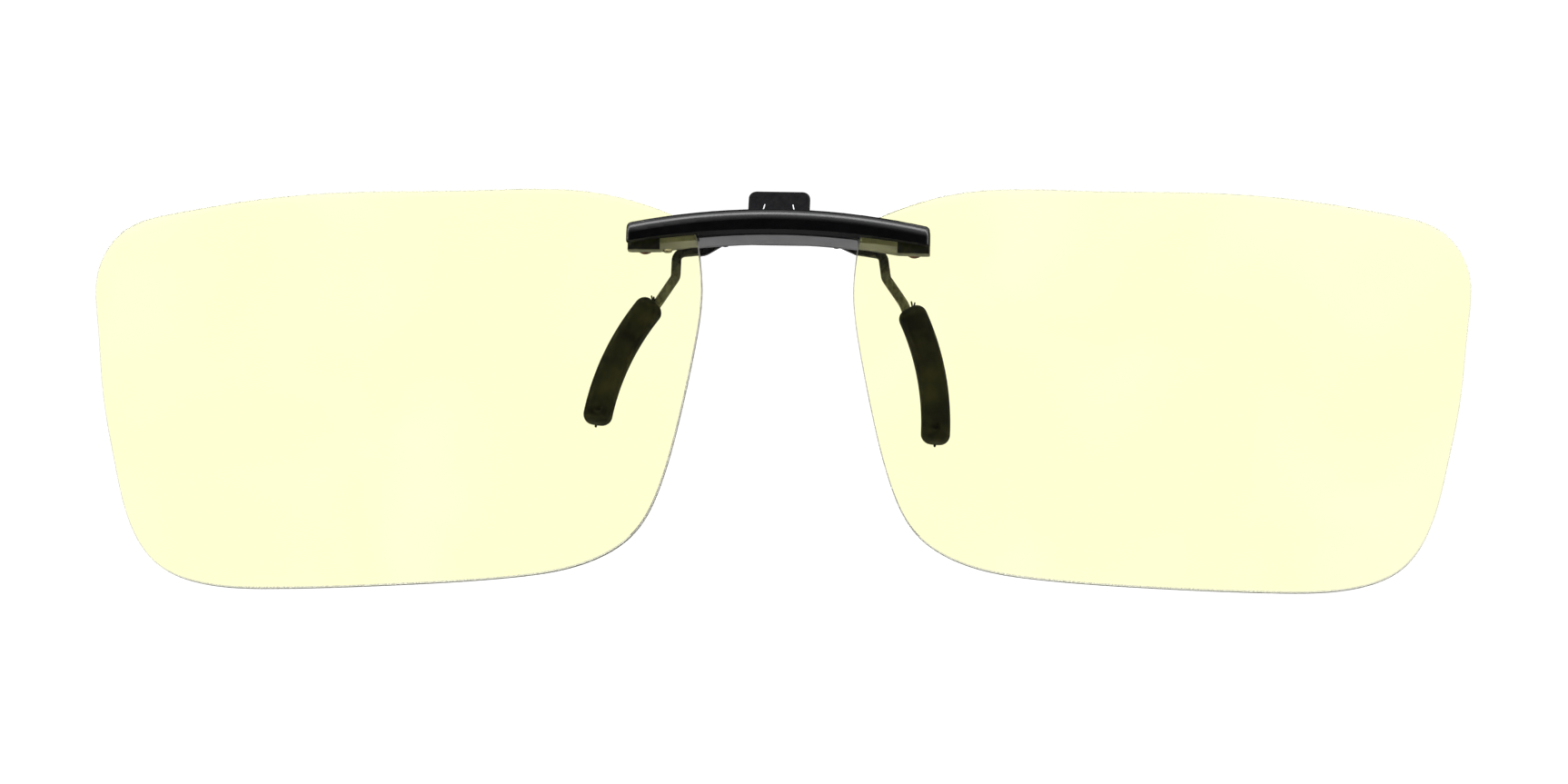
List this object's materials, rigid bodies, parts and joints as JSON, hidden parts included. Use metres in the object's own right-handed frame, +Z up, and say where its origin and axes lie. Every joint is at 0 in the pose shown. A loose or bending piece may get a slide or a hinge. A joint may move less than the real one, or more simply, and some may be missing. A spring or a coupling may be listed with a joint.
{
  "type": "clip-on sunglasses",
  "caption": "Clip-on tinted lenses for spectacles: rimless yellow lenses on a black bridge bar with a sprung thumb lever and rubber-sleeved arms.",
  "frame": {"origin": "midway between the two bumpers, on the plane of their rear faces", "axes": "+X to the right seen from the front, front faces -Y, wearer's side +Y, +Z up"},
  "size_m": [0.1377, 0.0085, 0.0417],
  "materials": {
    "bar_plastic": "glossy black moulding",
    "tinted_lens": "clear yellow tint, polished",
    "bonding_pad": "dark cured adhesive",
    "blackened_metal": "satin black",
    "fastener_steel": "dull bright steel",
    "spring_wire": "bright drawn wire",
    "bumper_silicone": "reddish brown, soft",
    "sleeve_rubber": "matte black"
  },
  "bodies": {
    "carrier": {"front_cover": "bar_plastic", "rear_plate": "bar_plastic", "left_lens": "tinted_lens", "right_lens": "tinted_lens", "left_lens_pad": "bonding_pad", "right_lens_pad": "bonding_pad", "hinge_bracket": "blackened_metal", "bracket_screws": "fastener_steel", "hinge_pin": "fastener_steel", "pin_ring": "fastener_steel", "left_spring": "spring_wire", "right_spring": "spring_wire", "left_bumper": "bumper_silicone", "right_bumper": "bumper_silicone"},
    "lever": {"thumb_lever": "blackened_metal", "left_arm": "blackened_metal", "right_arm": "blackened_metal", "arm_rivets": "fastener_steel", "left_sleeve": "sleeve_rubber", "right_sleeve": "sleeve_rubber"}
  },
  "joints": [
    {"name": "lever_hinge", "type": "hinge", "parent": "carrier", "child": "lever", "pos_m": [0, 0.0013, 0.002], "axis": [1, 0, 0], "range_deg": [0, 28], "stiffness_Nm_per_rad": 0.03, "springref_deg": -20.05, "deforming": ["left_spring", "right_spring"]}
  ]
}
